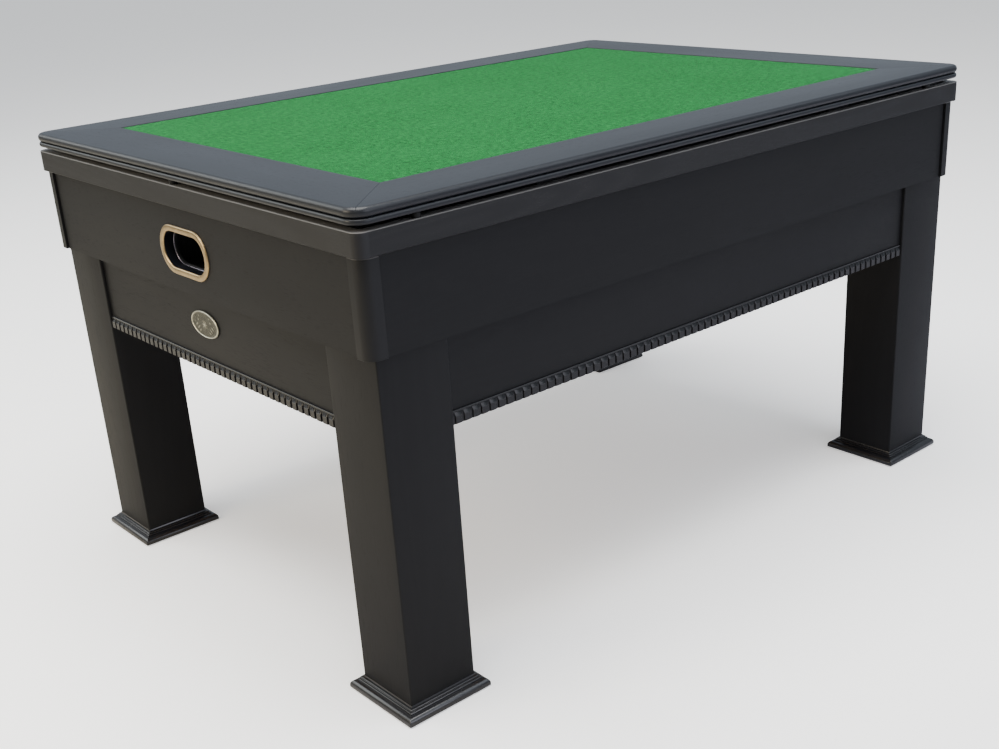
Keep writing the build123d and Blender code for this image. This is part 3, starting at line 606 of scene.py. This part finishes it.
# ---- Plinth mouldings and glides ----
# A small base moulding mitred round each leg: a quarter-round foot, a step and two fine beads,
# in a glossier black than the legs. Nylon glides under the legs carry the table.
def polished_black(name, colour, roughness, specular, coat):
    """Rubbed gloss lacquer: an even black with faint waviness, dust nibs and duller patches."""
    material, shader = new_finish(name, {
        "Specular IOR Level": specular, "Coat Weight": coat, "Coat Roughness": 0.18,
    })
    waves = stretched_noise(material, (24, 24, 60), detail=2.0)
    nibs = stretched_noise(material, (900, 900, 900), detail=1.0)
    height = calculate(material, "ADD", waves, calculate(material, "MULTIPLY", nibs, 0.15))
    patches = stretched_noise(material, (9, 9, 14), detail=4.0)
    lighter = tuple(1.6 * value for value in colour) + (1,)
    base = mix_colours(material, patches, tuple(colour) + (1,), lighter)
    gloss = between(material, patches, 0.35, 0.65, roughness - 0.03, roughness + 0.05)
    connect(material, shader, base, gloss, height, 0.00012)
    return material


plinth_low, plinth_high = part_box("plinths")
leg_low, leg_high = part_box("leg_front_right")
leg_half = (leg_high.x - leg_low.x) / 2
plinth_reach = plinth_high.x - leg_high.x
plinth_ease = 0.0008
plinth_corner_round = 0.0009


def plinth_section():
    """Half width and height from the floor edge up: foot, step, wide bead, fine bead, top lip.

    Distances out come back from the foot's edge in metres, and heights are shares of the rise.
    """
    bottom, top = plinth_low.z, plinth_high.z
    rise = top - bottom
    parts = [
        [(0.0, 0.0), (plinth_reach - plinth_ease, 0.0)],
        arc((plinth_reach - plinth_ease, plinth_ease), (plinth_ease, plinth_ease), -90, 0, 4),
        arc((plinth_reach - 0.0090, 0.20 * rise), (0.0090, 0.36 * rise), 0, 82, 10),
        [(plinth_reach - 0.0092, 0.585 * rise)],
        arc((plinth_reach - 0.0118, 0.66 * rise), (0.0022, 0.062 * rise), -60, 90, 8),
        [(plinth_reach - 0.0126, 0.735 * rise)],
        arc((plinth_reach - 0.0145, 0.81 * rise), (0.0016, 0.055 * rise), -60, 90, 7),
        [(0.0012, 0.90 * rise), (0.0004, rise), (0.0, rise)],
    ]
    section = np.concatenate([np.array(part, float) for part in parts])
    return section + (leg_half, bottom)


plinth_black = polished_black("plinth_gloss", (0.005, 0.005, 0.006), 0.24, 0.50, 0.1)
for name in leg_names:
    ring = stacked_squares(leg_centres[name], plinth_section(), plinth_corner_round)
    corner = name.removeprefix("leg_")
    surface(f"plinth_{corner}", [ring], plinth_black, "cabinet",
            ["plinths"], closed=(True, True), sharp=28.0)


def moulded_plastic(name, colour, roughness, grain_depth=0.00006):
    """Moulded plastic with a fine spark-eroded texture and slightly uneven gloss."""
    material, shader = new_finish(name, {"Specular IOR Level": 0.45})
    texture = stretched_noise(material, (1400, 1400, 1400), detail=2.0)
    patches = stretched_noise(material, (30, 30, 30), detail=3.0)
    lighter = tuple(1.35 * value + 0.003 for value in colour) + (1,)
    base = mix_colours(material, patches, tuple(colour) + (1,), lighter)
    gloss = between(material, patches, 0.3, 0.7, roughness - 0.04, roughness + 0.06)
    connect(material, shader, base, gloss, texture, grain_depth)
    return material


dress(["floor_glides"], moulded_plastic("glide_nylon", (0.10, 0.10, 0.10), 0.5))


# ---- Dentil mouldings ----
# Machined strips along the foot of each apron: square blocks with sloping tops, at every
# 16.7 mm, under a thin fillet, in a lacquer a little duller than the plinths'.
tooth_pitch, tooth_width = 0.0167, 0.0114


def dentil_grid(length, height, depth):
    """A section carried along the strip that changes from tooth to gap and back.

    Columns go along the strip in groups of six for each tooth: gap, eased edge, full tooth,
    full tooth, eased edge, gap. Rows go round the section from the back over the front.
    """
    fillet_height = fillet_depth = 0.0030
    backing, foot, ease, slope, gap_depth = 0.0015, 0.0007, 0.0005, 0.0060, 0.0020
    teeth_top = height - fillet_height
    tooth = np.array([
        (0, 0), (depth - foot, 0), (depth, foot), (depth, teeth_top - slope),
        (depth - ease, teeth_top - 0.9 * slope), (backing, teeth_top),
        (fillet_depth - 0.0004, teeth_top), (fillet_depth, teeth_top + 0.0004),
        (fillet_depth, height - ease), (fillet_depth - ease, height), (0, height),
    ])
    gap = tooth.copy()
    gap[1:5, 0] = depth - gap_depth
    count = int((length - tooth_width) / tooth_pitch) + 1
    starts = (np.arange(count) - (count - 1) / 2) * tooth_pitch - tooth_width / 2
    steps = np.array([0, 0, ease, tooth_width - ease, tooth_width, tooth_width])
    fullness = np.tile([0, 0.75, 1, 1, 0.75, 0], count)
    along = (starts[:, None] + steps).ravel()
    along = np.concatenate([[-length / 2], along, [length / 2]])
    fullness = np.concatenate([[0], fullness, [0]])[:, None]
    depths = gap[:, 0] + (tooth[:, 0] - gap[:, 0]) * fullness
    heights = np.broadcast_to(tooth[:, 1], depths.shape)
    return np.stack([np.broadcast_to(along[:, None], depths.shape), depths, heights], -1)


dentil_black = polished_black("dentil_gloss", (0.003, 0.003, 0.0036), 0.26, 0.31, 0.0)
for side, axis, sign in (("front", 1, -1), ("back", 1, 1), ("left", 0, -1), ("right", 0, 1)):
    low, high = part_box(f"dentil_{side}")
    size = high - low
    strip = dentil_grid(size[1 - axis], size.z, size[axis])
    face = low[axis] if sign > 0 else high[axis]
    placed = np.empty_like(strip)
    placed[..., axis] = face + sign * strip[..., 1]
    placed[..., 1 - axis] = (low[1 - axis] + high[1 - axis]) / 2 + strip[..., 0]
    placed[..., 2] = low.z + strip[..., 2]
    surface(f"moulding_{side}", [placed], dentil_black, "cabinet",
            [f"dentil_{side}"], closed=(False, True), capped=True, sharp=20.0)


# ---- Return-mouth rings and pockets ----
# A pressed ring of satin brass screwed round each mouth from inside, its face flat between two
# rolled edges, over a black sleeve that ends in a thin nickel lip. Behind it hangs a moulded
# pocket that catches the puck.
def satin_brass():
    """Brass brushed along the ring's length, lacquered, with a few darker tarnish clouds."""
    material, shader = new_finish("ring_brass", {"Metallic": 1.0})
    brushing = stretched_noise(material, (900, 60, 1800), detail=3.0)
    tarnish = stretched_noise(material, (60, 60, 60), detail=4.0, roughness=0.6)
    amount = between(material, tarnish, 0.42, 0.75, 0.0, 1.0)
    base = mix_colours(material, amount, (0.42, 0.31, 0.165, 1), (0.26, 0.185, 0.095, 1))
    gloss = between(material, brushing, 0.2, 0.8, 0.26, 0.38)
    connect(material, shader, base, gloss, brushing, 0.00003)
    return material


def brushed_metal(name, colour, scale, roughness):
    """Metal with fine parallel scratches and small changes of gloss."""
    material, shader = new_finish(name, {"Metallic": 1.0})
    scratches = stretched_noise(material, scale, detail=3.0)
    patches = stretched_noise(material, (22, 22, 22), detail=3.0)
    darker = tuple(0.8 * value for value in colour) + (1,)
    base = mix_colours(material, patches, darker, tuple(colour) + (1,))
    gloss = between(material, scratches, 0.2, 0.8, roughness - 0.06, roughness + 0.08)
    connect(material, shader, base, gloss, scratches, 0.00003)
    return material


def obround(half_straight, radius, count=20):
    """A slot's outline in Y and Z: two half circles joined by straights."""
    turn = np.radians(np.linspace(-90, 90, count))
    cap = np.stack([half_straight + radius * np.cos(turn), radius * np.sin(turn)], -1)
    return np.concatenate([cap, -cap])


ring_finish = satin_brass()
pocket_black = moulded_plastic("pocket_black", (0.010, 0.011, 0.013), 0.38, 0.00003)
sleeve_black = moulded_plastic("sleeve_black", (0.002, 0.0025, 0.0045), 0.30, 0.00002)
lip_finish = brushed_metal("lip_nickel", (0.46, 0.43, 0.52), (300, 300, 300), 0.30)
mouth_half_height = 0.030
mouth_half_straight = 0.037
for end, sign in (("left", -1), ("right", 1)):
    low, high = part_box(f"trim_ring_{end}")
    centre = Vector(((low.x + high.x) / 2, (low.y + high.y) / 2, (low.z + high.z) / 2))
    border = (high.z - low.z) / 2 - mouth_half_height
    face = high.x if sign > 0 else low.x
    # Each section is the distance out from the mouth's edge and the depth behind the face
    flange = np.array([
        (0.0014, 0.0030), (border, 0.0030), (border, 0.0016), (border - 0.0003, 0.0010),
        (border - 0.0012, 0.0002), (border - 0.0017, 0.0), (0.0020, 0.0), (0.0015, 0.0002),
        (0.0004, 0.0011), (0.0001, 0.0018), (0.0001, 0.0030),
    ])
    sleeve = np.array([
        (0.0002, 0.0028), (0.0002, 0.0190), (0.0014, 0.0190), (0.0014, 0.0034), (0.0008, 0.0028),
    ])
    lip = arc((0.0007, 0.0200), (0.0007, 0.0007), 0, 330, 12)
    for part, section, material, slot in (
        ("brass", flange, ring_finish, "ring_brass"),
        ("sleeve", sleeve, sleeve_black, "pocket_plastic"),
        ("lip", lip, lip_finish, "ring_brass"),
    ):
        rings = []
        for out, depth in section:
            line = obround(mouth_half_straight, mouth_half_height + out)
            rings.append(np.column_stack([
                np.full(len(line), face - sign * depth), line + (centre.y, centre.z)
            ]))
        surface(f"mouth_{part}_{end}", [np.stack(rings)], material, "cabinet",
                [f"trim_ring_{end}"], closed=(True, True), sharp=32.0)
dress(["return_pocket_left", "return_pocket_right"], pocket_black)


# ---- Badge ----
# A cast oval plate of antiqued nickel pinned to the left apron: a rounded rim, a ring of beads
# and a plain rosette between leaf scrolls. Its hollows are dark and its high places are rubbed.
badge_low, badge_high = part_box("badge")
badge_half_y = (badge_high.y - badge_low.y) / 2
badge_half_z = (badge_high.z - badge_low.z) / 2
badge_thickness = 0.0018
relief_height = 0.0012


def badge_relief(reach, turn):
    """Height of the plate as a function of how far out, 0 to 1, and the angle round.

    The rim is a rounded ridge, the beads are bumps that repeat round a narrow band inside it,
    the rosette has eight petals whose reach goes as the cosine of eight times the angle, and the
    scrolls are waves that wind out on each side of it. The rest is a shallow stippled ground.
    """
    rim = np.exp(-((reach - 0.94) / 0.035) ** 2) * 1.15
    beads = np.exp(-((reach - 0.84) / 0.028) ** 2) * (0.5 + 0.5 * np.cos(64 * turn)) * 0.45
    y = reach * np.cos(turn) * badge_half_y / badge_half_z
    z = reach * np.sin(turn)
    away = np.hypot(y, z)
    petal = np.clip(1 - away / (0.30 + 0.10 * np.cos(8 * np.arctan2(z, y))), 0, 1)
    rosette = np.sqrt(petal) * 0.6 + np.exp(-(away / 0.07) ** 2) * 0.35
    side = np.abs(y)
    winding = np.cos(9.0 * side - 7.0 * np.abs(z) ** 1.3) * np.cos(11.0 * z + 4.0 * side)
    leaf = np.clip(winding, 0, 1) ** 1.5 * np.clip((side - 0.42) * 4, 0, 1)
    leaf *= np.clip((0.76 - reach) * 12, 0, 1) * 0.5
    ground = 0.10 * np.sin(61 * y) * np.sin(67 * z)
    ground += 0.08 * np.sin(23 * y + 9 * z) * np.sin(31 * z)
    return relief_height * (rim + beads + rosette + leaf + ground)


def badge_finish():
    """Antiqued nickel: dark in the hollows of the relief, rubbed warm grey on its tops."""
    material, shader = new_finish("badge_nickel", {"Metallic": 0.85})
    place = node(material, "ShaderNodeTexCoord").outputs["Object"]
    depth = node(material, "ShaderNodeSeparateXYZ", {"Vector": place}).outputs["X"]
    raised = between(material, depth, badge_low.x + 0.0002, badge_low.x + 0.0013, 1.0, 0.0)
    grime = stretched_noise(material, (260, 260, 260), detail=4.0)
    raised = calculate(material, "ADD", raised, calculate(material, "MULTIPLY", grime, 0.35))
    raised = between(material, raised, 0.10, 1.05, 0.0, 1.0)
    base = mix_colours(material, raised, (0.030, 0.030, 0.022, 1), (0.50, 0.49, 0.40, 1))
    gloss = between(material, grime, 0.3, 0.7, 0.30, 0.45)
    connect(material, shader, base, gloss, grime, 0.00004)
    return material


reach = np.linspace(0, 1, 64)[:, None]
turn = np.linspace(0, 2 * math.pi, 384, endpoint=False)[None, :]
badge_y = (badge_low.y + badge_high.y) / 2 + reach * badge_half_y * np.cos(turn)
badge_z = (badge_low.z + badge_high.z) / 2 + reach * badge_half_z * np.sin(turn)
badge_x = badge_high.x - badge_thickness - badge_relief(reach, turn)
plate = np.stack([badge_x, badge_y, badge_z], -1)
edge = plate[-1:].copy()
edge[..., 0] = badge_high.x
back = edge.copy()
back[..., 1:] = [(badge_low.y + badge_high.y) / 2, (badge_low.z + badge_high.z) / 2]
surface("badge_plate", [np.concatenate([plate, edge, back])], badge_finish(), "cabinet",
        ["badge"], closed=(False, True), sharp=60.0)


# ---- Inside the cabinet ----
# Under the card top: the white laminate playfield with its air holes, lacquered rails faced with
# aluminium, pine battens and braces, bolts, and the rubber pads and cleats that carry the top.
def sawn_wood(name, grain):
    """Planed pine: pale wood with darker late-wood lines and a little roughness."""
    material, shader = new_finish(name, {"Specular IOR Level": 0.3})
    along = [1.0 if axis == grain else 0.0 for axis in range(3)]
    figure = stretched_noise(material, [0.8 if way else 14.0 for way in along], detail=2.0)
    rings = calculate(material, "SINE", calculate(material, "MULTIPLY", figure, 80.0))
    line = between(material, rings, 0.2, 1.0, 0.0, 1.0)
    fibres = stretched_noise(material, [30.0 if way else 900.0 for way in along])
    base = mix_colours(material, line, (0.62, 0.45, 0.27, 1), (0.40, 0.24, 0.12, 1))
    gloss = between(material, fibres, 0.3, 0.7, 0.60, 0.75)
    connect(material, shader, base, gloss, fibres, 0.00015)
    return material


def fibreboard():
    """Brown pressed board: fine fibre specks and a smooth pressed face."""
    material, shader = new_finish("fibreboard", {"Specular IOR Level": 0.25})
    specks = stretched_noise(material, (420, 420, 420), detail=4.0, roughness=0.7)
    clouds = stretched_noise(material, (9, 9, 9))
    tone = calculate(material, "MULTIPLY", calculate(material, "ADD", specks, clouds), 0.5)
    tone = between(material, tone, 0.35, 0.65, 0.0, 1.0)
    base = mix_colours(material, tone, (0.20, 0.125, 0.07, 1), (0.33, 0.225, 0.135, 1))
    gloss = between(material, specks, 0.3, 0.7, 0.65, 0.8)
    connect(material, shader, base, gloss, specks, 0.00012)
    return material


def pad_rubber():
    """Dark self-adhesive bumper rubber with dust on it."""
    material, shader = new_finish("bumper_rubber", {"Specular IOR Level": 0.15})
    dust = stretched_noise(material, (500, 500, 500), detail=4.0)
    base = mix_colours(material, dust, (0.004, 0.004, 0.0045, 1), (0.012, 0.012, 0.012, 1))
    gloss = between(material, dust, 0.3, 0.7, 0.25, 0.45)
    connect(material, shader, base, gloss, dust, 0.00005)
    return material


def playfield_laminate():
    """White gloss laminate with printed lines: in red a line and a circle at the middle, and in
    blue, on each half, a line across and a circle about the goal.
    """
    material, shader = new_finish("playfield_white", {"Specular IOR Level": 0.5, "Coat Weight": 0.3})
    place = node(material, "ShaderNodeTexCoord").outputs["Object"]
    parts = node(material, "ShaderNodeSeparateXYZ", {"Vector": place}).outputs
    x = calculate(material, "ABSOLUTE", parts["X"])

    def stripe(distance, half_width):
        """One where the distance is within the half width of nought."""
        return calculate(material, "LESS_THAN", calculate(material, "ABSOLUTE", distance), half_width)

    def ring(centre_x, radius):
        """A circle line about a place on the long middle line, the same on both halves."""
        along = calculate(material, "SUBTRACT", x, centre_x)
        square = calculate(material, "ADD", calculate(material, "MULTIPLY", along, along),
                           calculate(material, "MULTIPLY", parts["Y"], parts["Y"]))
        away = calculate(material, "SUBTRACT", calculate(material, "SQRT", square), radius)
        return stripe(away, 0.002)

    red = calculate(material, "MAXIMUM", stripe(x, 0.003), ring(0.0, 0.11))
    blue_line = stripe(calculate(material, "SUBTRACT", x, 0.27), 0.003)
    blue = calculate(material, "MAXIMUM", ring(0.544, 0.16), blue_line)
    scuffs = stretched_noise(material, (8, 90, 8), detail=5.0, distortion=0.5)
    white = mix_colours(material, scuffs, (0.74, 0.75, 0.76, 1), (0.84, 0.85, 0.85, 1))
    base = mix_colours(material, red, white, (0.55, 0.03, 0.03, 1))
    base = mix_colours(material, blue, base, (0.03, 0.08, 0.42, 1))
    gloss = between(material, scuffs, 0.35, 0.7, 0.16, 0.30)
    connect(material, shader, base, gloss, scuffs, 0.00002)
    return material


board = fibreboard()
steel = brushed_metal("zinc_steel", (0.62, 0.63, 0.65), (300, 300, 1200), 0.34)
aluminium = brushed_metal("rail_aluminium", (0.78, 0.78, 0.79), (25, 25, 1800), 0.30)
dress(["playfield"], playfield_laminate())
dress(["rail_front", "rail_back"], along_x)
dress(["rail_left", "rail_right"], along_y)
dress(["rail_inserts"], aluminium)
dress(["inner_battens", "leg_braces", "mitre_keys"], sawn_wood("pine", 0))
dress(["locating_cleats"], upright)
dress(["felt_panel", "bottom_board"], board)
dress(["leg_bolts", "motor_shaft", "motor_strap"], steel)

pad_low, pad_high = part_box("rest_pads")
pad_height = 0.008
pad_radius = 0.007
pad_round = 0.0022
pad_along = 0.610
pad_places = [(x * pad_along, y * (pad_high.y - pad_radius)) for x in (-1, 1) for y in (-1, 1)]
pad_places += [(x * (pad_high.x - pad_radius), 0.0) for x in (-1, 1)]
pad_section = np.concatenate([
    [(0, 0), (pad_radius - 0.0003, 0)],
    arc((pad_radius - pad_round, pad_height - pad_round), (pad_round, pad_round), 0, 90, 7),
    [(0, pad_height)],
])
pad_turn = np.linspace(0, 2 * math.pi, 32, endpoint=False)
pad_grids = []
for x, y in pad_places:
    radius = pad_section[:, :1]
    height = np.broadcast_to(pad_section[:, 1:], (len(pad_section), len(pad_turn)))
    pad_grids.append(np.stack([
        x + radius * np.cos(pad_turn), y + radius * np.sin(pad_turn), pad_low.z + height
    ], -1))
surface("rubber_bumpers", pad_grids, pad_rubber(), "cabinet", ["rest_pads"])


# ---- Blower ----
# A moulded fan housing screwed under the bottom board, with its guard, the fan and its motor,
# the rocker switch and the gland for the lead.
blower_black = moulded_plastic("blower_black", (0.016, 0.016, 0.018), 0.42)
switch_black = moulded_plastic("switch_black", (0.024, 0.024, 0.026), 0.30, 0.00003)
motor_paint = polished_black("motor_paint", (0.12, 0.125, 0.13), 0.40, 0.4, 0.0)
dress(["blower_housing", "blower_guard", "impeller", "cord_gland"], blower_black)
dress(["switch_body", "switch_rocker"], switch_black)
dress(["blower_motor"], motor_paint)
